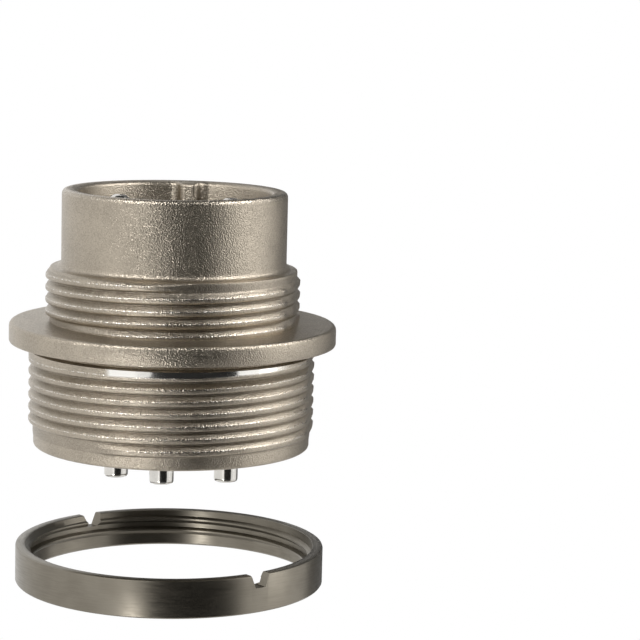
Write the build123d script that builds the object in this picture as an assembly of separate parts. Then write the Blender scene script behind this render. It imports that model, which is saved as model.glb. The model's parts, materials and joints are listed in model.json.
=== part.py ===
from build123d import *
from math import cos, radians, sin
import os

# Panel-mounting circular connector receptacle with three pin contacts, in millimetres.
# The origin is on the axis, at the flange face that seats on the panel.
# +Z points to the mating side, and the polarising key is toward +Y.

os.makedirs("parts", exist_ok=True)

# Both outer threads have the cast form: thin crests, V grooves, and flats at the die's parting line.
# Here they are rings at the true pitch and depth, at the heights their crests have at the front.
thread_pitch = 0.75
thread_depth = 0.31
parting_flat_depth = 0.25

# Coupling thread for the mating plug, with a plain collar above it
coupling_crest_radius = 7.97
coupling_thread_top = 4.53
coupling_land = 0.075
collar_step = 0.27
collar_height = 0.12

# Barrel around the contacts
shoulder_width = 0.7
barrel_wall = 1.0
barrel_foot_chamfer = 0.25
rim_height = 9.5
rim_chamfer = 0.14

# Polarising key, cast inside the barrel
key_height = 0.9
key_tip_width = 1.0
key_root_width = 2.3
key_tip_fillet = 0.42
key_root_fillet = 0.6

# Flange, with a shallow recess round the mounting thread so that only its outer ring seats
flange_radius = 10.2
flange_thickness = 1.25
flange_top_chamfer = 0.22
recess_clearance = 0.13
recess_depth = 0.1

# Mounting thread for the ring nut, between a relief under the flange and a plain pilot
mounting_crest_radius = 8.97
mounting_thread_bottom = -5.35
mounting_land = 0.45
relief_height = 0.33
relief_depth = 0.42
pilot_step = 0.33
pilot_top = -5.6
pilot_bottom = -6.5

# Lip that the contact insert rests against, and the rear bore that takes the insulators from behind
lip_width = 0.9
lip_bottom = 0.35

# Contact insert, pushed in from the rear against the lip
insert_face = 0.9
insert_clearance = 0.05
insert_bottom = -2.6

# Rear insulator behind the contact shoulders, and the spring ring that holds it in
insulator_bottom = -4.75
snap_ring_section = 0.8
snap_ring_engagement = 0.4
snap_ring_opening_degrees = 26.0
snap_groove_clearance = 0.05

# Contacts: one opposite the key and one at each side
contact_bearings = {"contact_pin_left": 180.0, "contact_pin_middle": 270.0, "contact_pin_right": 0.0}
contact_circle_radius = 3.5
contact_radius = 0.75
contact_tip = 9.1
contact_nose_length = 0.6
contact_tip_flat_radius = 0.3
contact_shank_radius = 0.92
contact_shank_top = 0.5
contact_shank_taper = 0.45
contact_hole_clearance = 0.04
tail_end = -8.75
middle_tail_shorter = 0.45
solder_cup_radius = 0.48
solder_cup_depth = 2.2
solder_cup_scoop = 1.3
solder_cup_lip = 0.3

# Ring nut, unscrewed and held below the receptacle on its axis
nut_thread_clearance = 0.08
nut_wall = 0.65
nut_top = -12.9
nut_height = 2.35
nut_bore_chamfer = 0.3
nut_slot_bottom_width = 0.8
nut_slot_top_width = 1.3
nut_slot_depth = 0.8
nut_slot_bearing = 314.0

# Radii and heights that follow from the sizes above
collar_radius = coupling_crest_radius - collar_step
collar_top = coupling_thread_top + collar_height
barrel_radius = collar_radius - shoulder_width
barrel_bore_radius = barrel_radius - barrel_wall
key_tip_radius = barrel_bore_radius - key_height
rear_bore_radius = barrel_bore_radius + lip_width
relief_radius = mounting_crest_radius - relief_depth
recess_radius = mounting_crest_radius + recess_clearance
pilot_radius = mounting_crest_radius - pilot_step


def turned(profile):
    """Revolve a closed outline of (radius, height) points about the axis."""
    return revolve(Plane.XZ * make_face(Polyline(*profile, close=True)), Axis.Z)


def disc(radius, bottom, top):
    """Plain cylinder on the axis."""
    return Pos(0, 0, (bottom + top) / 2) * Cylinder(radius, top - bottom)


def on_circle(bearing, piece):
    """Carry a contact feature from the axis to its place on the contact circle."""
    angle = radians(bearing)
    return Pos(contact_circle_radius * cos(angle), contact_circle_radius * sin(angle), 0) * piece


def thread_outline(crest_radius, top_crest, bottom):
    """Outline points of the V grooves from the top crest down to the bottom, listed upwards."""
    points = [(crest_radius, top_crest)]
    crest = top_crest - thread_pitch
    while crest > bottom:
        points.append((crest_radius - thread_depth, crest + thread_pitch / 2))
        points.append((crest_radius, crest))
        crest -= thread_pitch
    return points[::-1]


def parting_flats(crest_radius, bottom, top):
    """The two blocks that flatten a thread's crests where the die halves met."""
    inner = crest_radius - parting_flat_depth
    block = Box(crest_radius, 2 * crest_radius, top - bottom)
    middle = (bottom + top) / 2
    return [Pos(side * (inner + crest_radius / 2), 0, middle) * block for side in (-1, 1)]


def barrel_outline(bore_radius, clearance=0.0):
    """Outline of the barrel's bore with the key standing into it, its corners rounded."""
    key = make_face(
        Polyline(
            (-key_root_width / 2, barrel_radius),
            (-key_tip_width / 2, key_tip_radius),
            (key_tip_width / 2, key_tip_radius),
            (key_root_width / 2, barrel_radius),
            close=True,
        )
    )
    outline = Circle(bore_radius) - key
    corners = [v for v in outline.vertices() if v.Y > 0]
    tips = [v for v in corners if abs(v.Y - key_tip_radius) < 1e-3]
    outline = fillet(tips, key_tip_fillet)
    corners = [v for v in outline.vertices() if v.Y > 0]
    roots = [v for v in corners if abs(v.center().length - bore_radius) < 1e-3]
    outline = fillet(roots, key_root_fillet)
    return offset(outline, -clearance) if clearance else outline


def build_receptacle_body():
    """One-piece casting: barrel with key, collar, both threads, flange and pilot."""
    mounting_thread = thread_outline(
        mounting_crest_radius, -relief_height - mounting_land, mounting_thread_bottom
    )
    coupling_thread = thread_outline(
        coupling_crest_radius, coupling_thread_top - coupling_land, flange_thickness
    )
    body = turned(
        [
            (0, pilot_bottom),
            (pilot_radius, pilot_bottom),
            (pilot_radius, pilot_top),
            (mounting_crest_radius, mounting_thread_bottom),
            *mounting_thread,
            (mounting_crest_radius, -relief_height),
            (relief_radius, -relief_height),
            (relief_radius, recess_depth),
            (recess_radius, 0),
            (flange_radius, 0),
            (flange_radius, flange_thickness - flange_top_chamfer),
            (flange_radius - flange_top_chamfer, flange_thickness),
            (coupling_crest_radius, flange_thickness),
            *coupling_thread,
            (coupling_crest_radius, coupling_thread_top),
            (collar_radius, coupling_thread_top),
            (collar_radius, collar_top),
            (barrel_radius + barrel_foot_chamfer, collar_top),
            (barrel_radius, collar_top + barrel_foot_chamfer),
            (barrel_radius, rim_height - rim_chamfer),
            (barrel_radius - rim_chamfer, rim_height),
            (0, rim_height),
        ]
    )
    body -= parting_flats(mounting_crest_radius, mounting_thread_bottom, -relief_height)
    body -= parting_flats(coupling_crest_radius, flange_thickness, coupling_thread_top)
    body -= extrude(Pos(0, 0, lip_bottom) * barrel_outline(barrel_bore_radius), rim_height)
    groove_radius = rear_bore_radius + snap_ring_engagement + snap_groove_clearance
    groove_bottom = insulator_bottom - snap_ring_section - 2 * snap_groove_clearance
    body -= turned(
        [
            (0, pilot_bottom),
            (rear_bore_radius, pilot_bottom),
            (rear_bore_radius, groove_bottom),
            (groove_radius, groove_bottom),
            (groove_radius, insulator_bottom),
            (rear_bore_radius, insulator_bottom),
            (rear_bore_radius, lip_bottom),
            (0, lip_bottom),
        ]
    )
    return body


def build_contact_insert():
    """Moulded front insulator: keyed boss through the lip, with open wells round the pins."""
    flange = disc(rear_bore_radius - insert_clearance, insert_bottom, lip_bottom)
    outline = barrel_outline(barrel_bore_radius, insert_clearance)
    insert = flange + extrude(Pos(0, 0, lip_bottom) * outline, insert_face - lip_bottom)
    well = contact_shank_radius + contact_hole_clearance
    for bearing in contact_bearings.values():
        insert -= on_circle(bearing, disc(well, insert_bottom, insert_face))
    return insert


def build_rear_insulator():
    """Moulded disc that closes the insert from behind."""
    insulator = disc(rear_bore_radius - insert_clearance, insulator_bottom, insert_bottom)
    hole = contact_radius + contact_hole_clearance
    for bearing in contact_bearings.values():
        insulator -= on_circle(bearing, disc(hole, insulator_bottom, insert_bottom))
    return insulator


def build_snap_ring():
    """Open ring of square spring wire, sprung into its groove in the rear bore."""
    outer_radius = rear_bore_radius + snap_ring_engagement
    top = insulator_bottom - snap_groove_clearance
    section = Polyline(
        (outer_radius - snap_ring_section, top - snap_ring_section),
        (outer_radius, top - snap_ring_section),
        (outer_radius, top),
        (outer_radius - snap_ring_section, top),
        close=True,
    )
    ring = revolve(Plane.XZ * make_face(section), Axis.Z, 360 - snap_ring_opening_degrees)
    return Rot(0, 0, 90 + snap_ring_opening_degrees / 2) * ring


def build_contact(end):
    """Turned contact: nosed pin, thicker shank, and a tail that ends in a scooped solder cup."""
    contact = turned(
        [
            (0, end),
            (contact_radius, end),
            (contact_radius, insert_bottom),
            (contact_shank_radius, insert_bottom),
            (contact_shank_radius, contact_shank_top),
            (contact_radius, contact_shank_top + contact_shank_taper),
            (contact_radius, contact_tip - contact_nose_length),
            (contact_tip_flat_radius, contact_tip),
            (0, contact_tip),
        ]
    )
    contact -= disc(solder_cup_radius, end, end + solder_cup_depth)
    scoop_width = 2 * contact_radius
    scoop = Pos(0, contact_radius, end + solder_cup_scoop / 2) * Box(
        scoop_width, scoop_width - solder_cup_lip, solder_cup_scoop
    )
    return contact - scoop


def build_ring_nut():
    """Slotted ring nut with its bore at the thread's root diameter."""
    bore = mounting_crest_radius + nut_thread_clearance
    outer = bore + nut_wall
    bottom = nut_top - nut_height
    nut = turned(
        [
            (bore, bottom),
            (outer, bottom),
            (outer, nut_top),
            (bore + nut_bore_chamfer, nut_top),
            (bore, nut_top - nut_bore_chamfer),
        ]
    )
    slot = make_face(
        Polyline(
            (-nut_slot_bottom_width / 2, nut_top - nut_slot_depth),
            (nut_slot_bottom_width / 2, nut_top - nut_slot_depth),
            (nut_slot_top_width / 2, nut_top),
            (-nut_slot_top_width / 2, nut_top),
            close=True,
        )
    )
    slots = extrude(Plane.XZ * slot, 2 * outer, both=True)
    return nut - Rot(0, 0, nut_slot_bearing - 90) * slots


nodes = {
    "receptacle_body": build_receptacle_body(),
    "contact_insert": build_contact_insert(),
    "rear_insulator": build_rear_insulator(),
    "snap_ring": build_snap_ring(),
    "ring_nut": build_ring_nut(),
}
for name, bearing in contact_bearings.items():
    end = tail_end + middle_tail_shorter if name == "contact_pin_middle" else tail_end
    nodes[name] = on_circle(bearing, build_contact(end))

for name, piece in nodes.items():
    export_step(piece, f"parts/{name}.step")
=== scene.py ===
"""Visual model of a panel-mounting circular connector receptacle and its ring nut.

Sizes are millimetres in the part's own frame: the axis is Z, the mating side is +Z and the
key is toward +Y. Angles are degrees, and bearings run about the axis from +X toward +Y.
Meshes are written in metres.
"""

from __future__ import annotations

import json
import logging
import math
from dataclasses import dataclass
from enum import Enum
from typing import Callable, Iterable, Sequence

import bpy
from mathutils import Matrix, Vector, noise

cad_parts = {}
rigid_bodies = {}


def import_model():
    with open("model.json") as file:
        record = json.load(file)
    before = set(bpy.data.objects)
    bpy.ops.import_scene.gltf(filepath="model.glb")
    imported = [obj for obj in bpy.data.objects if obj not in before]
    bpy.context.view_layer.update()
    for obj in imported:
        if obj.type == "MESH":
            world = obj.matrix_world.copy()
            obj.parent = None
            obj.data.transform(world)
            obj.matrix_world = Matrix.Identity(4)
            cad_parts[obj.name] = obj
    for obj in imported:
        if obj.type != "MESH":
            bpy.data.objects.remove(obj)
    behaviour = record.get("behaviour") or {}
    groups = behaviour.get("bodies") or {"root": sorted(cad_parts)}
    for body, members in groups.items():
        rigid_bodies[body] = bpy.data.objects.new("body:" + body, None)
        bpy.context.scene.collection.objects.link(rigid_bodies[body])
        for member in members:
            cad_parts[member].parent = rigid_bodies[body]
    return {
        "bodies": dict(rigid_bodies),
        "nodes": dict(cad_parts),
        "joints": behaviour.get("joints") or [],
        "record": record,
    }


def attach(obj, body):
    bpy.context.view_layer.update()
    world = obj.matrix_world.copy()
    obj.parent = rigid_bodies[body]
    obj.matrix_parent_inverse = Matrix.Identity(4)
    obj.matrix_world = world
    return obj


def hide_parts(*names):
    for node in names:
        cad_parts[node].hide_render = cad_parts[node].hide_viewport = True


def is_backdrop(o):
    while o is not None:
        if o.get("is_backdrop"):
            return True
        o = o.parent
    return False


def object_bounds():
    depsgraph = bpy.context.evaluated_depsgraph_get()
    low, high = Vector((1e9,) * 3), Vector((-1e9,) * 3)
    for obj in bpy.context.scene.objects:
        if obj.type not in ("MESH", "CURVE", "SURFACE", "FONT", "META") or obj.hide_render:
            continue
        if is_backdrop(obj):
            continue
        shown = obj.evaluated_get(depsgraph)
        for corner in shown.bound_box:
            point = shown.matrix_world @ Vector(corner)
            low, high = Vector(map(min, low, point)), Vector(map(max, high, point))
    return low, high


LOG = logging.getLogger("receptacle")
MM = 0.001
PITCH = 0.75
CAMERA_BEARING = 279.3

# How the cast threads wear, where the painted highlight on their crests lies, and how rough they
# are, in millimetres, degrees and shares
CREST_STANDS = (0.75, 0.9)
CREST_LINE = (0.015, 0.06)
WORN_RISE = 7.0
WORN_LOSS = 0.55
FLAT_ROUGHNESS = 0.035
FLAT_BLEND = 0.05
CREST_GRAIN = 0.004
BUMP_REACH = (2.2, 0.11)
BUMP_DROP = 0.33

# Distances of the cast threads' mesh rows from their crest line, over one pitch
CAST_ROWS = (-0.435, -0.385, -0.35, -0.315, -0.28, -0.22, -0.1, -0.035, 0.0, 0.035, 0.15, 0.25)

Point = tuple[float, float]
Triple = tuple[float, float, float]
Ring = Callable[[float], Point]


class Body(Enum):
    """The CAD bodies that pieces ride on."""

    RECEPTACLE = "receptacle"
    NUT = "nut"


class Slot(Enum):
    """The record's material slots of the pieces that replace CAD nodes."""

    CAST = "cast_nickel"
    TURNED = "turned_nickel"
    CONTACT = "contact_plate"


def ramp(low: float, high: float, value: float) -> float:
    """Rise smoothly from 0 to 1 between two values.

    Args:
        low: Value at and below which the result is 0.
        high: Value at and above which the result is 1.
        value: Value to judge.

    Returns:
        The smooth step between 0 and 1.
    """
    share = min(1.0, max(0.0, (value - low) / (high - low)))
    return share * share * (3.0 - 2.0 * share)


def between(knots: Sequence[Point], value: float) -> float:
    """Interpolate linearly between knots.

    Args:
        knots: Pairs of value and result, the values rising.
        value: Value to look up.

    Returns:
        The result, or 1 outside the knots.
    """
    for (low, start), (high, stop) in zip(knots, knots[1:]):
        if low <= value <= high:
            return start + (stop - start) * (value - low) / (high - low)
    return 1.0


def turn_from(bearing: float, reference: float) -> float:
    """Give the signed difference between two bearings.

    Args:
        bearing: Bearing to judge.
        reference: Bearing to measure from.

    Returns:
        The difference, from -180 to 180.
    """
    return (bearing - reference + 180.0) % 360.0 - 180.0


@dataclass(frozen=True)
class HelixThread:
    """Right-handed external thread whose crests fade in and out along the helix.

    Args:
        crest: Crest radius.
        depth: Height of the crests over the roots.
        phase: Height of one crest at the camera-side bearing.
        fade_in: Heights between which the lowest crest grows.
        fade_out: Heights between which the highest crest dies away.
        groove_end: Heights between which the highest groove fills up.
        flat: Distance from the axis to the flats at the parting line.
        worn_side: How far the right-hand flat's rough edge reaches.
        collar: Radius of the collar above the thread, or 0 for none.
        collar_foot: Height above which the collar counts.
        bumps: Cast bumps on the crests, as bearing and height.
        tooth: Section as (distance from the crest line, share of the depth) from root to root.
    """

    crest: float
    depth: float
    phase: float
    fade_in: Point
    fade_out: Point
    groove_end: Point
    flat: float
    worn_side: float = 0.0
    collar: float = 0.0
    collar_foot: float = 0.0
    bumps: tuple[Point, ...] = ()
    tooth: tuple[Point, ...] = (
        (-0.435, 1.0), (-0.385, 0.94), (-0.35, 0.7), (-0.315, 0.38), (-0.28, 0.16), (-0.22, 0.05),
        (-0.1, 0.0), (0.0, 0.0), (0.06, 0.17), (0.15, 0.46), (0.25, 0.84), (0.315, 1.0))

    def level(self, bearing: float, height: float) -> Triple:
        """Find the nearest crest and groove of a point on the thread.

        Args:
            bearing: Bearing of the point.
            height: Height of the point.

        Returns:
            Distance to the nearest crest, that crest's height, and the nearest groove's height.
        """
        lead = turn_from(bearing, CAMERA_BEARING) / 360.0
        turns = (height - self.phase) / PITCH - lead
        root = self.tooth[-1][0] / PITCH
        crest_turn = math.ceil(turns - root)
        groove_turn = round(turns - root) + root
        base = self.phase + PITCH * lead
        return (turns - crest_turn) * PITCH, base + PITCH * crest_turn, base + PITCH * groove_turn

    def share(self, bearing: float, height: float) -> float:
        """Give how much of the full crest stands at a point.

        Args:
            bearing: Bearing of the point.
            height: Height of the point.

        Returns:
            1 on a full crest and 0 in a root.
        """
        distance, crest, groove = self.level(bearing, height)
        fall = between(self.tooth, distance)
        grown = ramp(*self.fade_in, crest) * (1.0 - ramp(*self.fade_out, crest))
        open_groove = 1.0 - ramp(*self.groove_end, groove)
        return 1.0 - open_groove * (1.0 - grown * (1.0 - fall))

    def edge(self, bearing: float, height: float) -> float:
        """Give the mask of the rubbed edge along the top of the crests, where a highlight is also
        painted.

        Args:
            bearing: Bearing of the point.
            height: Height of the point.

        Returns:
            1 on the crest line and 0 away from it.
        """
        distance, _, _ = self.level(bearing, height)
        standing = ramp(*CREST_STANDS, self.share(bearing, height))
        return standing * (1.0 - ramp(*CREST_LINE, abs(distance)))

    def radius(self, bearing: float, height: float) -> float:
        """Give the surface radius, with the parting flats, the collar and the cast bumps.

        Args:
            bearing: Bearing of the point.
            height: Height of the point.

        Returns:
            The radius there.
        """
        share = self.share(bearing, height)
        side = turn_from(bearing, 0.0)
        if self.worn_side and -self.worn_side < side < 0.0:
            share *= 1.0 - WORN_LOSS * ramp(-self.worn_side, -self.worn_side + WORN_RISE, side)
        radius = self.crest - self.depth * (1.0 - share)
        angle = math.radians(bearing)
        rough = noise.noise(Vector((4.0 * bearing / 7.0, 3.1 * height, self.crest)))
        limit = self.flat / max(0.3, abs(math.cos(angle))) + FLAT_ROUGHNESS * rough
        blend = max(FLAT_BLEND - abs(radius - limit), 0.0) / FLAT_BLEND
        soft = min(radius, limit) - blend * blend * FLAT_BLEND * 0.25
        grain = noise.noise(Vector((1.3 * bearing, 5.0 * height, 7.7)))
        radius = soft + CREST_GRAIN * grain * share
        for spot, level in self.bumps:
            away = math.hypot(turn_from(bearing, spot) / BUMP_REACH[0],
                              (height - level) / BUMP_REACH[1])
            radius = max(radius, self.crest - BUMP_DROP * min(1.0, away * away))
        return max(radius, self.collar) if height > self.collar_foot else radius


@dataclass(frozen=True)
class KeyedBore:
    """Bore with a rounded key standing into it at +Y.

    Args:
        radius: Bore radius.
        tip: Distance from the axis to the key's tip.
        half_tip: Half the tip's width before rounding.
        slope: How much the half width grows for each millimetre outwards.
        tip_round: Radius of the tip's corners.
        root_round: Radius of the corners between key and bore.
    """

    radius: float = 6.0
    tip: float = 5.1
    half_tip: float = 0.5
    slope: float = 0.342
    tip_round: float = 0.42
    root_round: float = 0.6

    def _through_arc(self, beta: float, centre: Point, radius: float, far: bool) -> float:
        """Cut a ray from the axis with a rounding arc.

        Args:
            beta: Angle of the ray from the key's middle, in radians.
            centre: Centre of the arc, across and along the key.
            radius: Radius of the arc.
            far: Whether the far crossing is wanted.

        Returns:
            Distance of the crossing from the axis.
        """
        along = centre[0] * math.sin(beta) + centre[1] * math.cos(beta)
        across = centre[0] * math.cos(beta) - centre[1] * math.sin(beta)
        half = math.sqrt(max(0.0, radius * radius - across * across))
        return along + half if far else along - half

    def at(self, bearing: float) -> float:
        """Give the wall's radius at a bearing.

        Args:
            bearing: Bearing of the point.

        Returns:
            The radius there.
        """
        beta = abs(math.radians(turn_from(bearing, 90.0)))
        steep = math.hypot(1.0, self.slope)
        top = self.tip + self.tip_round
        inner = (self.half_tip + self.slope * self.tip_round - self.tip_round * steep, top)
        reach = self.radius - self.root_round
        height = reach
        side = 0.0
        for _ in range(12):
            side = self.half_tip + self.slope * (height - self.tip) + self.root_round * steep
            height = math.sqrt(max(0.0, reach * reach - side * side))
        if beta <= math.atan2(inner[0], self.tip):
            return self.tip / math.cos(beta)
        if beta >= math.atan2(side, height):
            return self.radius
        run = math.sin(beta) - self.slope * math.cos(beta)
        flank = (self.half_tip - self.slope * self.tip) / run if run < -1e-6 else 1e9
        touch_in = (inner[0] + self.tip_round / steep,
                    top - self.tip_round * self.slope / steep)
        touch_out = (side - self.root_round / steep,
                     height + self.root_round * self.slope / steep)
        if beta <= math.atan2(*touch_in):
            return self._through_arc(beta, inner, self.tip_round, False)
        if beta < math.atan2(*touch_out):
            return flank
        return self._through_arc(beta, (side, height), self.root_round, True)


class ColumnMesh:
    """Mesh of columns round the axis in which equal points of one column are one vertex."""

    def __init__(self, bearings: Iterable[float]) -> None:
        """Start an empty mesh.

        Args:
            bearings: Bearings of the columns, rising over one turn.
        """
        self.bearings = list(bearings)
        self.points: list[Triple] = []
        self.polar: list[Triple] = []
        self.faces: list[list[int]] = []
        self._known: dict[tuple[int, int, int], int] = {}

    def vertex(self, column: int, radius: float, height: float) -> int:
        """Find the vertex at a radius and height of a column, or make it.

        Args:
            column: Number of the column, which wraps round.
            radius: Radius of the point.
            height: Height of the point.

        Returns:
            Index of the vertex.
        """
        column %= len(self.bearings)
        key = (0 if radius < 1e-6 else column, round(radius * 1e5), round(height * 1e5))
        if key not in self._known:
            bearing = self.bearings[column]
            angle = math.radians(bearing)
            self._known[key] = len(self.points)
            self.points.append((radius * math.cos(angle) * MM, radius * math.sin(angle) * MM,
                                height * MM))
            self.polar.append((bearing, radius, height))
        return self._known[key]

    def face(self, *corners: int) -> None:
        """Add a face, dropping corners that fell together.

        Args:
            *corners: Vertex indices.
        """
        kept = [c for i, c in enumerate(corners) if c != corners[i - 1]]
        if len(set(kept)) >= 3 and len(set(kept)) == len(kept):
            self.faces.append(kept)

    def lathe(self, rings: Sequence[Ring | Point]) -> None:
        """Join rings one after the other, with the outside to the right of the way.

        Args:
            rings: (radius, height) points, or functions that give one for each bearing.
        """
        columns = range(len(self.bearings))

        def spot(ring: Ring | Point, column: int) -> int:
            """Return the vertex of a ring in a column."""
            point = ring(self.bearings[column % len(self.bearings)]) if callable(ring) else ring
            return self.vertex(column, *point)

        for lower, upper in zip(rings, rings[1:]):
            for c in columns:
                self.face(spot(lower, c), spot(lower, c + 1), spot(upper, c + 1), spot(upper, c))

    def helix(self, shape: Callable[[float, float], float], phase: float, low: float,
              high: float, rows: Sequence[float], falling: bool = False) -> None:
        """Add a sheared grid whose rows follow a right-handed helix between two heights.

        Args:
            shape: Gives the radius for a bearing and a height.
            phase: Height of one crest at the camera-side bearing.
            low: Lowest height.
            high: Highest height.
            rows: Distances of the rows from their crest, over one pitch, rising.
            falling: Whether the faces look towards the axis.
        """
        count = len(self.bearings)
        first = math.floor((low - phase) / PITCH) - 2
        last = math.ceil((high - phase) / PITCH) + 2
        levels = [phase + PITCH * turn + row
                  for turn in range(first, last + 1) for row in rows]

        def spot(column: int, row: int) -> int:
            """Return the vertex of a row in a column, past the seam one turn further on."""
            lap, column = divmod(column, count)
            lead = (self.bearings[column] - self.bearings[0]) / 360.0
            start = turn_from(self.bearings[0], CAMERA_BEARING) / 360.0
            level = levels[min(row, len(levels) - 1)] + PITCH * (lead + start + lap)
            height = min(high, max(low, level))
            return self.vertex(column, shape(self.bearings[column], height), height)

        for row in range(len(levels) - 1):
            for c in range(count):
                corners = (spot(c, row), spot(c + 1, row), spot(c + 1, row + 1), spot(c, row + 1))
                self.face(*(reversed(corners) if falling else corners))

    def build(self, name: str, masks: dict[str, Callable[[float, float, float], float]],
              sharp: float = 40.0) -> bpy.types.Object:
        """Write the mesh as an object.

        Args:
            name: Object name.
            masks: Point attributes, each from bearing, radius and height.
            sharp: Edges steeper than this many degrees are sharp.

        Returns:
            The new object, linked to the scene.
        """
        mesh = bpy.data.meshes.new(name)
        mesh.from_pydata(self.points, [], self.faces)
        mesh.update()
        for mask, law in masks.items():
            layer = mesh.attributes.new(mask, "FLOAT", "POINT")
            layer.data.foreach_set("value", [law(*p) for p in self.polar])
        mesh.shade_smooth()
        mesh.set_sharp_from_angle(angle=math.radians(sharp))
        made = bpy.data.objects.new(name, mesh)
        bpy.context.scene.collection.objects.link(made)
        return made


def even_bearings(count: int, dense: Sequence[Triple] = ()) -> list[float]:
    """List bearings round one turn, closer together in some stretches.

    Args:
        count: Number of even bearings.
        dense: Stretches as (start, end, step).

    Returns:
        The bearings, rising.
    """
    step = 360.0 / count
    bearings = [i * step for i in range(count)
                if not any(a - step / 2 < i * step < b + step / 2 for a, b, _ in dense)]
    for a, b, fine in dense:
        bearings += [a + i * fine for i in range(round((b - a) / fine) + 1)]
    return sorted(bearings)


def cut_away(piece: bpy.types.Object, prisms: Sequence[Sequence[Vector]]) -> None:
    """Cut prisms out of a piece.

    Args:
        piece: The object to cut.
        prisms: Eight corners of each prism, the lower four first.
    """
    sides = [(0, 3, 2, 1), (4, 5, 6, 7), (0, 1, 5, 4), (1, 2, 6, 5), (2, 3, 7, 6), (3, 0, 4, 7)]
    mesh = bpy.data.meshes.new("cutter")
    points: list[Vector] = []
    faces: list[tuple[int, ...]] = []
    for prism in prisms:
        start = len(points)
        points += [corner * MM for corner in prism]
        faces += [tuple(start + i for i in side) for side in sides]
    mesh.from_pydata(points, [], faces)
    cutter = bpy.data.objects.new("cutter", mesh)
    bpy.context.scene.collection.objects.link(cutter)
    change = piece.modifiers.new("cut", "BOOLEAN")
    change.operation = "DIFFERENCE"
    change.solver = "EXACT"
    change.object = cutter
    graph = bpy.context.evaluated_depsgraph_get()
    result = bpy.data.meshes.new_from_object(piece.evaluated_get(graph))
    piece.modifiers.clear()
    old = piece.data
    piece.data = result
    result.name = piece.name
    result.shade_smooth()
    result.set_sharp_from_angle(angle=math.radians(35.0))
    bpy.data.meshes.remove(old)
    bpy.data.objects.remove(cutter)
    bpy.data.meshes.remove(mesh)


class Graph:
    """Small helper that adds and links shader nodes in one tree."""

    def __init__(self, tree: bpy.types.NodeTree) -> None:
        """Hold the tree.

        Args:
            tree: Tree to build in.
        """
        self.tree = tree

    def add(self, kind: str, settings: dict[str, object] | None = None,
            **values: object) -> bpy.types.Node:
        """Add a node.

        Args:
            kind: Node type without the ShaderNode prefix.
            settings: Node properties.
            **values: Input values or sockets by name, with underscores for spaces.

        Returns:
            The new node.
        """
        made = self.tree.nodes.new("ShaderNode" + kind if not kind.startswith("Node") else kind)
        for key, value in (settings or {}).items():
            setattr(made, key, value)
        for key, value in values.items():
            self.put(made, key.replace("_", " "), value)
        return made

    def put(self, made: bpy.types.Node, key: str | int, value: object) -> None:
        """Set or link one input of a node.

        Args:
            made: The node.
            key: Name or number of the input.
            value: Plain value or socket.
        """
        socket = made.inputs[key]
        if isinstance(value, bpy.types.NodeSocket):
            self.tree.links.new(value, socket)
        elif isinstance(value, tuple) and socket.type == "RGBA" and len(value) == 3:
            socket.default_value = (*value, 1.0)
        else:
            socket.default_value = value

    def math(self, operation: str, *values: object) -> bpy.types.NodeSocket:
        """Add a Math node.

        Args:
            operation: Name of the operation.
            *values: Values or sockets it works on.

        Returns:
            Its result.
        """
        made = self.add("Math", {"operation": operation})
        for index, value in enumerate(values):
            self.put(made, index, value)
        return made.outputs[0]

    def span(self, value: object, low: float, high: float, to_low: float,
             to_high: float) -> bpy.types.NodeSocket:
        """Map a value smoothly from one range to another.

        Args:
            value: Value or socket to map.
            low: Start of its range.
            high: End of its range.
            to_low: Result at the start.
            to_high: Result at the end.

        Returns:
            The mapped value.
        """
        made = self.add("MapRange", {"interpolation_type": "SMOOTHSTEP"})
        for index, item in enumerate((value, low, high, to_low, to_high)):
            self.put(made, index, item)
        return made.outputs[0]

    def mix(self, share: object, first: object, second: object) -> bpy.types.NodeSocket:
        """Mix two colours.

        Args:
            share: Share of the second colour.
            first: Colour or socket.
            second: Colour or socket.

        Returns:
            The mixed colour.
        """
        made = self.add("Mix", {"data_type": "RGBA"})
        self.put(made, 0, share)
        self.put(made, 6, first)
        self.put(made, 7, second)
        return made.outputs[2]


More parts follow.
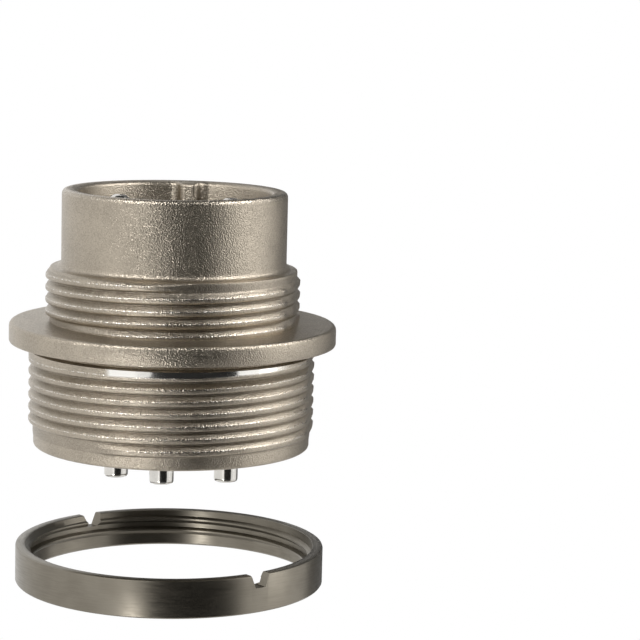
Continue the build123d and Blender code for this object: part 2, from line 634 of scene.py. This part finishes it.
class Effects:
    """Shader node groups that several finishes share."""

    def __init__(self) -> None:
        """Build the groups once."""
        self.grain = self._relief("SkinGrain", (0.15, 0.01), (0.7, 0.5), 0.45, False)
        self.lines = self._relief("TurningLines", (0.05, 0.002), (2.0, 0.6), 0.6, True)

    @staticmethod
    def _relief(name: str, default: Point, texture: Point, patches: float,
                turned: bool) -> bpy.types.NodeTree:
        """Build a fine relief over broad patches, its Size and Height in millimetres.

        Args:
            name: Group name.
            default: Size and Height that hold unless a material sets its own.
            texture: Detail and roughness of the relief's noise.
            patches: Scale of the broad noise.
            turned: Whether the relief runs in lines round the axis.

        Returns:
            The node group.
        """
        tree = bpy.data.node_groups.new(name, "ShaderNodeTree")
        for key, value in zip(("Size", "Height"), default):
            socket = tree.interface.new_socket(key, in_out="INPUT", socket_type="NodeSocketFloat")
            socket.default_value = value
        for key, kind in (("Fine", "Float"), ("Broad", "Float"), ("Normal", "Vector")):
            tree.interface.new_socket(key, in_out="OUTPUT", socket_type="NodeSocket" + kind)
        g = Graph(tree)
        start, end = g.add("NodeGroupInput"), g.add("NodeGroupOutput")
        place = g.add("TexCoord").outputs["Object"]
        in_mm = g.add("VectorMath", {"operation": "SCALE"}, Scale=1000.0)
        g.put(in_mm, 0, place)
        run = in_mm.outputs[0]
        if turned:
            split = g.add("SeparateXYZ", Vector=run)
            reach = g.math("SQRT", g.math("ADD", g.math("POWER", split.outputs[0], 2.0),
                                          g.math("POWER", split.outputs[1], 2.0)))
            stack = g.add("CombineXYZ", X=reach, Y=split.outputs[2], Z=0.0)
            wide = g.add("VectorMath", {"operation": "SCALE"}, Scale=60.0)
            g.put(wide, 0, place)
            warp = g.add("VectorMath", {"operation": "ADD"})
            g.put(warp, 0, stack.outputs[0])
            g.put(warp, 1, wide.outputs[0])
            run = warp.outputs[0]
        fine = g.add("TexNoise", Vector=run, Detail=texture[0], Roughness=texture[1],
                     Scale=g.math("DIVIDE", 1.0, start.outputs["Size"]))
        broad = g.add("TexNoise", Vector=in_mm.outputs[0], Detail=2.0, Scale=patches)
        relief = g.math("MULTIPLY", fine.outputs[0], start.outputs["Height"])
        bump = g.add("Bump", Strength=1.0, Distance=MM, Height=relief)
        for key, made in (("Fine", fine), ("Broad", broad), ("Normal", bump)):
            g.put(end, key, made.outputs[0])
        return tree


def new_material(name: str) -> tuple[bpy.types.Material, Graph, bpy.types.Node]:
    """Start a material with a Principled shader.

    Args:
        name: Material name.

    Returns:
        The material, its graph helper and the shader node.
    """
    material = bpy.data.materials.new(name)
    material.use_nodes = True
    graph = Graph(material.node_tree)
    return material, graph, material.node_tree.nodes["Principled BSDF"]


@dataclass(frozen=True)
class CastNickel:
    """Satin nickel plate over a die-cast skin, brighter where edges are rubbed and where highlights
    are painted.

    Args:
        colour: Plate colour.
        edge: Colour of rubbed edges and painted highlights, and of the turned band's painted
            reflection.
        grain: Size of the skin's grain.
        height: Height of that grain.
        roughness: Roughness of the plain skin.
        polished: Roughness of the turned band.
        dullness: Share of the colour that dull patches keep.
        groove_shade: How far painted shade darkens the threads' grooves.
    """

    colour: Triple = (0.465, 0.408, 0.33)
    edge: Triple = (0.93, 0.91, 0.86)
    grain: float = 0.08
    height: float = 0.036
    roughness: float = 0.35
    polished: float = 0.13
    dullness: float = 0.72
    groove_shade: float = 0.18

    def material(self, effects: Effects) -> bpy.types.Material:
        """Build the material from three point attributes: rubbed edges with painted highlights,
        painted shade in the thread grooves, and the turned band with its painted reflection.

        Args:
            effects: Shared node groups.

        Returns:
            The material.
        """
        material, g, shader = new_material("cast nickel")
        skin = g.add("Group", {"node_tree": effects.grain}, Size=self.grain, Height=self.height)
        rub, groove, polish_and_painted_reflection = (g.add("Attribute", {"attribute_name": key}).outputs["Fac"]
                               for key in ("rub", "groove", "polish_and_painted_reflection"))
        dull = tuple(self.dullness * c for c in self.colour)
        shaded = tuple(0.05 * c for c in self.colour)
        worn = g.math("MULTIPLY_ADD", skin.outputs["Fine"], 2.4, -1.2)
        patch = g.math("ADD", g.span(skin.outputs["Broad"], 0.35, 0.65, 0.4, 0.8), worn)
        # Painted shade: the thread grooves darken towards a near-black copy of the plate colour.
        plate = g.mix(g.math("MULTIPLY", groove, self.groove_shade),
                      g.mix(patch, dull, self.colour), shaded)
        # Rubbed edges turn towards the near-white edge colour: real wear, and a painted highlight
        # on crests and rim.
        broken = g.math("MULTIPLY", rub, g.span(skin.outputs["Fine"], 0.4, 0.62, 0.12, 1.0))
        # The turned band takes the near-white colour as well: a painted reflection where it faces
        # the camera.
        rubbed_and_painted_bright = g.math("MAXIMUM", g.span(broken, 0.3, 0.9, 0.0, 1.0), polish_and_painted_reflection)
        g.put(shader, "Base Color", g.mix(rubbed_and_painted_bright, plate, self.edge))
        base = g.span(skin.outputs["Fine"], 0.3, 0.7,
                      self.roughness + 0.06, self.roughness - 0.06)
        rubbed = g.math("MULTIPLY_ADD", rub, -0.14, base)
        smooth = g.add("Mix", {"data_type": "FLOAT"})
        g.put(smooth, 0, polish_and_painted_reflection)
        g.put(smooth, 2, rubbed)
        g.put(smooth, 3, self.polished)
        g.put(shader, "Roughness", smooth.outputs[0])
        fading = g.add("Mix", {"data_type": "VECTOR"})
        g.put(fading, 0, polish_and_painted_reflection)
        g.put(fading, 4, skin.outputs["Normal"])
        g.put(fading, 5, g.add("NewGeometry").outputs["Normal"])
        g.put(shader, "Normal", fading.outputs[1])
        g.put(shader, "Metallic", 1.0)
        return material


@dataclass(frozen=True)
class TurnedMetal:
    """Plated metal with fine turning lines round its axis.

    Args:
        name: Material name.
        colour: Light colour.
        shade: Dark colour of broad patches.
        line: Size of the lines.
        height: Height of the lines.
        roughness: Roughness across the lines.
        anisotropic: How far highlights stretch across the lines.
    """

    name: str
    colour: Triple
    shade: Triple
    line: float
    height: float
    roughness: float
    anisotropic: float = 0.0

    def material(self, effects: Effects) -> bpy.types.Material:
        """Build the material.

        Args:
            effects: Shared node groups.

        Returns:
            The material.
        """
        material, g, shader = new_material(self.name)
        turned = g.add("Group", {"node_tree": effects.lines},
                       Size=self.line, Height=self.height)
        patch = g.span(turned.outputs["Broad"], 0.32, 0.68, 0.0, 0.6)
        fleck = g.span(turned.outputs["Fine"], 0.35, 0.7, 0.0, 0.4)
        g.put(shader, "Base Color", g.mix(g.math("ADD", patch, fleck), self.colour, self.shade))
        g.put(shader, "Roughness", g.span(turned.outputs["Fine"], 0.3, 0.7,
                                          self.roughness - 0.04, self.roughness + 0.05))
        g.put(shader, "Normal", turned.outputs["Normal"])
        g.put(shader, "Metallic", 1.0)
        if self.anisotropic:
            shader.inputs["Anisotropic"].default_value = self.anisotropic
            shader.inputs["Anisotropic Rotation"].default_value = 0.25
            tangent = g.add("Tangent", {"direction_type": "RADIAL", "axis": "Z"})
            g.put(shader, "Tangent", tangent.outputs[0])
        return material


@dataclass(frozen=True)
class MouldedBlack:
    """Dark moulding with a fine matt skin.

    Args:
        colour: Plain colour.
        dusty: Colour of its duller patches.
        roughness: Mean roughness.
    """

    colour: Triple = (0.02, 0.019, 0.018)
    dusty: Triple = (0.034, 0.032, 0.03)
    roughness: float = 0.5

    def material(self, effects: Effects) -> bpy.types.Material:
        """Build the material.

        Args:
            effects: Shared node groups.

        Returns:
            The material.
        """
        material, g, shader = new_material("moulded black")
        skin = g.add("Group", {"node_tree": effects.grain}, Size=0.12, Height=0.005)
        dust = g.span(skin.outputs["Broad"], 0.4, 0.7, 0.0, 1.0)
        g.put(shader, "Base Color", g.mix(dust, self.colour, self.dusty))
        g.put(shader, "Roughness", g.math("MULTIPLY_ADD", dust, 0.12, self.roughness))
        g.put(shader, "Normal", skin.outputs["Normal"])
        return material


class Piece:
    """Rigid piece of the model, with the CAD node it replaces, its body and its slot."""

    node: str
    body = Body.RECEPTACLE
    slot = Slot.CAST

    def dress(self, made: bpy.types.Object, finish: bpy.types.Material) -> None:
        """Give the piece its finish and its place in the frame.

        Args:
            made: The built piece.
            finish: Its material.
        """
        made.data.materials.clear()
        made.data.materials.append(finish)
        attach(made, self.body.value)
        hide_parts(self.node)


@dataclass
class Casting(Piece):
    """One-piece casting: keyed barrel, coupling thread, flange, mounting thread and pilot.

    Args:
        coupling: Thread for the mating plug.
        mounting: Thread for the ring nut.
        bore: Keyed bore of the barrel.
        rim: Height of the barrel's rim.
        barrel: Outer radius of the barrel.
        flange: Radius of the flange.
        lip: Height at which the keyed bore ends.
        rear_bore: Radius of the bore behind the lip.
        snap_groove: Radius of the spring ring's groove.
        band: Height of the turned band's lower edge at the camera-side bearing.
    """

    coupling: HelixThread = HelixThread(
        crest=7.97, depth=0.28, phase=2.955, fade_in=(1.33, 1.42), fade_out=(4.42, 4.48),
        groove_end=(9.0, 9.1), flat=7.72, worn_side=24.0, collar=7.69, collar_foot=3.7)
    mounting: HelixThread = HelixThread(
        crest=8.97, depth=0.29, phase=-3.03, fade_in=(-5.37, -5.30), fade_out=(9.0, 9.1),
        groove_end=(-0.96, -0.8), flat=8.72, bumps=((251.7, -2.25), (255.6, -2.99)))
    bore: KeyedBore = KeyedBore()
    rim: float = 9.5
    barrel: float = 7.0
    flange: float = 10.19
    lip: float = 0.35
    rear_bore: float = 6.9
    snap_groove: float = 7.35
    band: float = -0.78
    node = "receptacle_body"

    def _inner(self, inset: float, height: float) -> Ring:
        """Make a ring along the keyed bore's wall.

        Args:
            inset: Distance outwards from the wall.
            height: Height of the point.

        Returns:
            The ring.
        """
        return lambda bearing: (self.bore.at(bearing) + inset, height)

    def _rub_and_painted_highlight(self, bearing: float, radius: float, height: float) -> float:
        """Give the mask of the rubbed edges and crests, which also paints highlights on them.

        Args:
            bearing: Bearing of the point.
            radius: Radius of the point.
            height: Height of the point.

        Returns:
            The mask, from 0 to 1.
        """
        value = 0.0
        if 1.2 < height < 4.7 and radius > 7.5:
            value = 0.8 * self.coupling.edge(bearing, height) * ramp(7.8, 7.92, radius)
        elif height < -0.3 and radius > 8.5:
            value = 0.75 * self.mounting.edge(bearing, height) * ramp(8.8, 8.92, radius)
        elif radius > 9.8 and height > 0.9:
            away = math.hypot(radius - self.flange + 0.08, height - 1.16)
            value = 0.12 - 0.12 * ramp(0.1, 0.3, away)
        elif height > self.rim - 0.3 and radius > 6.3:
            value = 0.45 * ramp(6.5, 6.8, radius)
        return value

    def _groove_painted_shade(self, bearing: float, radius: float, height: float) -> float:
        """Give the mask of the painted shade in the threads' grooves.

        Args:
            bearing: Bearing of the point.
            radius: Radius of the point.
            height: Height of the point.

        Returns:
            The mask, from 0 to 1.
        """
        if 1.3 < height < 4.5 and 7.5 < radius < 8.0:
            return ramp(0.1, 0.5, (self.coupling.crest - radius) / self.coupling.depth)
        off_flats = abs(math.cos(math.radians(bearing))) < 0.96
        if -5.7 < height < -0.8 and 8.5 < radius < 9.0 and off_flats:
            return ramp(0.1, 0.5, 1.0 - self.mounting.share(bearing, height))
        return 0.0

    def _polish_and_painted_reflection(self, bearing: float, radius: float, height: float) -> float:
        """Give the mask of the turned band under the flange, which paints its reflection patch
        where it faces the camera.

        Args:
            bearing: Bearing of the point.
            radius: Radius of the point.
            height: Height of the point.

        Returns:
            The mask, from 0 to 1.
        """
        if not (8.85 < radius < 9.05 and -1.2 < height < -0.4):
            return 0.0
        side = turn_from(bearing, CAMERA_BEARING)
        lower = self.band + PITCH * side / 360.0
        # Only the camera-facing bearings are turned bright, so the band's white patch is a painted
        # reflection.
        turned = ramp(-26.0, -24.7, side) * (1.0 - ramp(36.0, 56.0, side))
        return ramp(-0.08, 0.0, height - lower) * turned

    def build(self) -> bpy.types.Object:
        """Build the casting's mesh.

        Returns:
            The casting.
        """
        mesh = ColumnMesh(even_bearings(288, ((76.0, 104.0, 0.4),)))
        rear, groove = self.rear_bore, self.snap_groove
        pilot_top, relief = -5.7, -0.48
        foot, collar_top = 1.3, 4.56
        mesh.lathe([
            self._inner(0.0, self.lip), (rear, self.lip), (rear, -4.75), (groove, -4.75),
            (groove, -5.65), (rear, -5.65), (rear, -6.36), (7.0, -6.5), (8.46, -6.5),
            (8.55, -6.48), (8.61, -6.43), (8.64, -6.34), (8.64, -6.0),
            lambda b: (self.mounting.radius(b, pilot_top), pilot_top),
        ])
        mesh.helix(self.mounting.radius, self.mounting.phase, pilot_top, relief, CAST_ROWS)
        mesh.lathe([
            lambda b: (self.mounting.radius(b, relief), relief), (8.92, -0.44), (8.58, -0.4),
            (8.55, -0.36), (8.55, 0.06), (8.62, 0.1), (9.05, 0.02), (9.12, 0.0), (10.09, 0.0),
            (10.16, 0.03), (self.flange, 0.1), (self.flange, 0.93), (10.17, 1.06),
            (10.11, 1.16), (10.01, 1.23), (9.88, 1.25), (8.3, 1.25), (8.1, 1.26),
            lambda b: (self.coupling.radius(b, foot), foot),
        ])
        mesh.helix(self.coupling.radius, self.coupling.phase, foot, collar_top, CAST_ROWS)
        mesh.lathe([
            lambda b: (self.coupling.radius(b, collar_top), collar_top), (7.67, 4.63),
            (7.62, 4.66), (7.45, 4.67), (7.3, 4.69), (7.16, 4.75), (7.07, 4.84), (7.02, 4.96),
            (self.barrel, 5.1), (self.barrel, 9.15), (6.985, 9.28), (6.93, 9.39),
            (6.84, 9.465), (6.74, 9.495), (6.64, self.rim), (6.54, 9.49),
            self._inner(0.16, 9.44), self._inner(0.05, 9.37), self._inner(0.0, 9.24),
            self._inner(0.0, self.lip),
        ])
        # The masks carry rubbed edges with painted highlights, painted shade in the grooves and the
        # turned band's painted reflection.
        return mesh.build("casting", {"rub": self._rub_and_painted_highlight, "groove": self._groove_painted_shade,
                                      "polish_and_painted_reflection": self._polish_and_painted_reflection})


@dataclass
class Contact(Piece):
    """Turned pin contact with a scooped solder cup.

    Args:
        node: CAD node that the contact replaces.
        bearing: Bearing of its axis on the contact circle.
        end: Height of its tail's end.
        circle: Radius of the contact circle.
    """

    node: str
    bearing: float
    end: float
    circle: float = 3.5
    slot = Slot.CONTACT

    def build(self) -> bpy.types.Object:
        """Build the contact's mesh in place.

        Returns:
            The contact.
        """
        mesh = ColumnMesh(even_bearings(48))
        end = self.end
        mesh.lathe([
            (0.0, end + 2.2), (0.48, end + 2.2), (0.48, end + 0.04), (0.52, end), (0.62, end),
            (0.7, end + 0.04), (0.745, end + 0.12), (0.75, end + 0.25), (0.75, -2.6),
            (0.9, -2.6), (0.92, -2.58), (0.92, 0.5), (0.75, 0.95), (0.75, 8.38),
            (0.735, 8.55), (0.68, 8.74), (0.58, 8.9), (0.45, 9.02), (0.3, 9.09),
            (0.22, 9.1), (0.0, 9.1),
        ])
        made = mesh.build(self.node.replace("pin", "turned"), {}, 50.0)
        angle = math.radians(self.bearing)
        scoop = [Vector((x, y, z)) for z in (end - 0.2, end + 1.3)
                 for x, y in ((-0.8, 0.15), (0.8, 0.15), (0.8, 0.9), (-0.8, 0.9))]
        cut_away(made, [scoop])
        reach = self.circle * MM
        made.data.transform(Matrix.Translation((reach * math.cos(angle),
                                                reach * math.sin(angle), 0.0)))
        return made


@dataclass
class RingNut(Piece):
    """Slotted ring nut with its internal thread.

    Args:
        outer: Outer radius.
        minor: Radius of the thread's crests.
        major: Radius of the thread's roots and of the plain band.
        top: Height of the slotted face.
        height: Height of the nut.
        slots: Bearing of the slots.
        cut: Section of the slots, as (height from the top, half width).
        phase: Height of one crest at the camera-side bearing.
        tooth: Section as (distance from the crest, share of the depth).
        band: Heights over the bottom between which the plain band ends.
    """

    outer: float = 9.7
    minor: float = 8.74
    major: float = 9.03
    top: float = -12.9
    height: float = 2.35
    slots: float = 314.0
    cut: tuple[Point, ...] = ((-0.8, 0.36), (0.3, 0.78))
    phase: float = -13.815
    tooth: tuple[Point, ...] = ((-0.3, 1.0), (-0.055, 0.0), (0.05, 0.0), (0.17, 1.0))
    band: Point = (0.72, 0.86)
    body = Body.NUT
    node = "ring_nut"
    slot = Slot.TURNED

    def _bore(self, bearing: float, height: float) -> float:
        """Give the radius of the threaded bore, with its plain band at the bottom.

        Args:
            bearing: Bearing of the point.
            height: Height of the point.

        Returns:
            The radius there.
        """
        lead = turn_from(bearing, CAMERA_BEARING) / 360.0
        turns = (height - self.phase) / PITCH - lead
        fall = between(self.tooth, (turns - round(turns)) * PITCH)
        threaded = self.minor + (self.major - self.minor) * fall
        plain = 1.0 - ramp(*self.band, height - self.top + self.height)
        return threaded + (self.major - threaded) * plain

    def build(self) -> bpy.types.Object:
        """Build the nut's mesh and cut its slots.

        Returns:
            The nut.
        """
        bottom = self.top - self.height
        mesh = ColumnMesh(even_bearings(320))
        outer = self.outer
        low, high = bottom + 0.1, self.top - 0.34
        mesh.lathe([
            lambda b: (self._bore(b, low), low), (self.major + 0.1, bottom), (outer - 0.14, bottom),
            (outer - 0.05, bottom + 0.03), (outer, bottom + 0.1), (outer, self.top - 0.12),
            (outer - 0.03, self.top - 0.04), (outer - 0.1, self.top),
            (self.major + 0.08, self.top), (self.major + 0.02, self.top - 0.02),
            lambda b: (self._bore(b, high), high),
        ])
        rows = (-0.3, -0.18, -0.055, 0.05, 0.11, 0.17, 0.3)
        mesh.helix(self._bore, self.phase, low, high, rows, falling=True)
        made = mesh.build("slotted_ring", {})
        prisms = []
        for turn in (0.0, 180.0):
            place = Matrix.Rotation(math.radians(self.slots + turn), 4, "Z")
            prisms.append([
                place @ Vector((x, y, self.top + rise)) for rise, half in self.cut
                for x, y in ((8.0, -half), (10.5, -half), (10.5, half), (8.0, half))])
        cut_away(made, prisms)
        return made


@dataclass(frozen=True)
class Lamp:
    """Soft area lamp that looks at a point on the axis.

    Args:
        name: Lamp name.
        bearing: Bearing it stands at, to the right of the camera.
        rise: Elevation of the lamp.
        distance: Distance from the part's origin.
        size: Width and height.
        power: Power in watts.
    """

    name: str
    bearing: float
    rise: float
    distance: float
    size: Point
    power: float

    def build(self) -> None:
        """Add the lamp to the scene."""
        data = bpy.data.lights.new(self.name, "AREA")
        data.shape = "RECTANGLE"
        data.size, data.size_y = self.size[0] * MM, self.size[1] * MM
        data.energy = self.power
        lamp = bpy.data.objects.new(self.name, data)
        bpy.context.scene.collection.objects.link(lamp)
        lamp.location = polar_place(self.bearing, self.rise, self.distance)
        lamp.rotation_euler = lamp.location.normalized().to_track_quat("Z", "Y").to_euler()


def polar_place(bearing: float, rise: float, distance: float) -> Vector:
    """Give a point from its bearing off the camera's side, its elevation and its distance.

    Args:
        bearing: Bearing to the right of the camera.
        rise: Elevation of the point.
        distance: Distance from the part's origin.

    Returns:
        The point in metres.
    """
    angle = math.radians(CAMERA_BEARING + bearing)
    level = math.radians(rise)
    return Vector((math.cos(level) * math.cos(angle), math.cos(level) * math.sin(angle),
                   math.sin(level))) * distance * MM


@dataclass
class Studio:
    """Camera, pale floor, soft lamps and the cards that metal needs to look round.

    Args:
        distance: Camera distance from the part's origin.
        rise: Camera elevation.
        focal: Focal length in pixels of the 640 pixel frame.
        roll: Camera roll.
        origin: Pixel that shows the part's origin.
    """

    distance: float = 150.0
    rise: float = 8.945
    focal: float = 2393.0
    roll: float = 0.919
    origin: Point = (172.9, 341.06)

    def _camera(self) -> None:
        """Place the camera so that the origin falls on its pixel."""
        data = bpy.data.cameras.new("camera")
        data.sensor_width = 36.0
        data.lens = self.focal * 36.0 / 640.0
        data.clip_start = 0.01
        camera = bpy.data.objects.new("camera", data)
        bpy.context.scene.collection.objects.link(camera)
        place = polar_place(0.0, self.rise, self.distance)
        back = place.normalized()
        right = Vector((0.0, 0.0, 1.0)).cross(back).normalized()
        up = back.cross(right)
        level = Matrix((right, up, back)).transposed()
        across = (self.origin[0] - 320.0) / self.focal
        down = (self.origin[1] - 320.0) / self.focal
        roll = math.radians(self.roll)
        flat_x = across * math.cos(roll) + down * math.sin(roll)
        flat_y = -across * math.sin(roll) + down * math.cos(roll)
        aim = level @ Vector((flat_x, -flat_y, -1.0)).normalized()
        turn = aim.rotation_difference(-back)
        frame = turn.to_matrix() @ level
        rolled = frame @ Matrix.Rotation(roll, 3, "Z")
        camera.matrix_world = Matrix.Translation(place) @ rolled.to_4x4()
        bpy.context.scene.camera = camera

    @staticmethod
    def _world() -> None:
        """Plain white for the camera and for reflections, and soft grey for the rest."""
        world = bpy.data.worlds.new("studio")
        bpy.context.scene.world = world
        world.use_nodes = True
        g = Graph(world.node_tree)
        paths = g.add("LightPath")
        seen = g.math("MAXIMUM", paths.outputs["Is Camera Ray"], paths.outputs["Is Glossy Ray"])
        seen = g.math("MAXIMUM", seen, paths.outputs["Is Transmission Ray"])
        shade = g.mix(seen, (0.55, 0.55, 0.55), (1.0, 1.0, 1.0))
        g.put(world.node_tree.nodes["Background"], "Color", shade)

    @staticmethod
    def _floor() -> None:
        """Pale floor below the ring nut, white to the camera and still shaded by the part."""
        mesh = bpy.data.meshes.new("floor")
        half, level = 3.0, -0.120
        mesh.from_pydata([(-half, -half, level), (half, -half, level), (half, half, level),
                          (-half, half, level)], [], [(0, 1, 2, 3)])
        floor = bpy.data.objects.new("floor", mesh)
        bpy.context.scene.collection.objects.link(floor)
        material, g, shader = new_material("pale floor")
        paths = g.add("LightPath")
        seen = g.math("MAXIMUM", paths.outputs["Is Camera Ray"], paths.outputs["Is Glossy Ray"])
        g.put(shader, "Base Color", (0.8, 0.8, 0.79))
        g.put(shader, "Roughness", 0.9)
        glow = g.add("Emission", Color=(1.0, 1.0, 1.0), Strength=1.0)
        mixed = g.add("MixShader")
        g.put(mixed, 0, seen)
        g.put(mixed, 1, shader.outputs[0])
        g.put(mixed, 2, glow.outputs[0])
        g.put(material.node_tree.nodes["Material Output"], "Surface", mixed.outputs[0])
        mesh.materials.append(material)
        floor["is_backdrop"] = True

    @staticmethod
    def _card(name: str, bearings: Point, rises: Point, distance: float,
              shade: float) -> None:
        """Add a curved card round the part that only reflections show.

        Args:
            name: Name of the card.
            bearings: Bearings it reaches between, to the right of the camera.
            rises: Elevations it reaches between.
            distance: Distance from the part's origin.
            shade: Grey value.
        """
        columns, rows = 16, 4
        points = [polar_place(bearings[0] + (bearings[1] - bearings[0]) * c / columns,
                              rises[0] + (rises[1] - rises[0]) * r / rows, distance)
                  for r in range(rows + 1) for c in range(columns + 1)]
        wide = columns + 1
        faces = [(r * wide + c, r * wide + c + 1, (r + 1) * wide + c + 1, (r + 1) * wide + c)
                 for r in range(rows) for c in range(columns)]
        mesh = bpy.data.meshes.new(name)
        mesh.from_pydata(points, [], faces)
        card = bpy.data.objects.new(name, mesh)
        bpy.context.scene.collection.objects.link(card)
        card.visible_camera = False
        material, g, shader = new_material(name)
        g.put(shader, "Base Color", (shade, shade, shade))
        g.put(shader, "Roughness", 0.9)
        mesh.materials.append(material)
        card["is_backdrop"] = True

    def build(self) -> None:
        """Set up the whole studio."""
        bpy.context.scene.view_settings.view_transform = "Standard"
        self._camera()
        self._world()
        self._floor()
        self._card("dark_card", (-16.0, 52.0), (-31.0, 66.0), 200.0, 0.03)
        self._card("low_card", (-16.0, 52.0), (-64.0, -30.0), 130.0, 0.3)
        self._card("left_card", (-27.0, -16.0), (-8.2, 34.0), 200.0, 0.2)
        self._card("top_card", (-180.0, 180.0), (58.0, 90.0), 200.0, 0.08)
        self._card("back_card", (174.0, 182.3), (-5.0, 45.0), 200.0, 0.03)
        self._card("grey_card", (120.0, 172.0), (-31.0, 60.0), 200.0, 0.3)
        for lamp in (
            Lamp("left strip", -27.0, -26.0, 240.0, (20.0, 26.0), 0.09),
            Lamp("left high", -38.0, 44.0, 500.0, (280.0, 110.0), 1.0),
            Lamp("right high", 81.0, 44.0, 500.0, (380.0, 110.0), 1.15),
            Lamp("right", 84.0, 8.0, 500.0, (180.0, 400.0), 0.25),
        ):
            lamp.build()


def dress_node(frame: dict, node: str, finish: bpy.types.Material) -> None:
    """Give a CAD node that keeps its shape its finish.

    Args:
        frame: What the frame loader returned.
        node: Node name.
        finish: Its material.
    """
    made = frame["nodes"][node]
    made.data.materials.clear()
    made.data.materials.append(finish)
    LOG.info("dressed %s", node)


def corners(bounds: tuple[Vector, Vector]) -> list[list[float]]:
    """Turn a box into plain lists of numbers.

    Args:
        bounds: Lowest and highest corner.

    Returns:
        The two corners.
    """
    return [list(corner) for corner in bounds]


def main() -> None:
    """Build every piece in order and hand the scene over."""
    logging.basicConfig(level=logging.INFO, format="%(name)s: %(message)s")
    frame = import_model()
    sizes = {"cad": corners(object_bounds())}
    effects = Effects()
    cast = CastNickel().material(effects)
    turned = TurnedMetal("turned nickel", colour=(0.24, 0.218, 0.178), shade=(0.196, 0.176, 0.142),
                         line=0.06, height=0.0016, roughness=0.34, anisotropic=0.6)
    plated = TurnedMetal("contact plate", colour=(0.72, 0.7, 0.66), shade=(0.6, 0.58, 0.54),
                         line=0.05, height=0.0006, roughness=0.14)
    spring = TurnedMetal("spring wire", colour=(0.5, 0.5, 0.5), shade=(0.38, 0.38, 0.38),
                         line=0.06, height=0.001, roughness=0.32)
    contact_finish = plated.material(effects)

    casting = Casting()
    casting.dress(casting.build(), cast)
    LOG.info("built the casting")
    for contact in (
        Contact("contact_pin_left", 180.0, -8.75),
        Contact("contact_pin_middle", 270.0, -8.3),
        Contact("contact_pin_right", 0.0, -8.75),
    ):
        contact.dress(contact.build(), contact_finish)
        LOG.info("built %s", contact.node)
    nut = RingNut()
    nut.dress(nut.build(), turned.material(effects))
    LOG.info("built the ring nut")
    black = MouldedBlack().material(effects)
    dress_node(frame, "contact_insert", black)
    dress_node(frame, "rear_insulator", black)
    dress_node(frame, "snap_ring", spring.material(effects))
    Studio().build()

    sizes["visual"] = corners(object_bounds())


main()
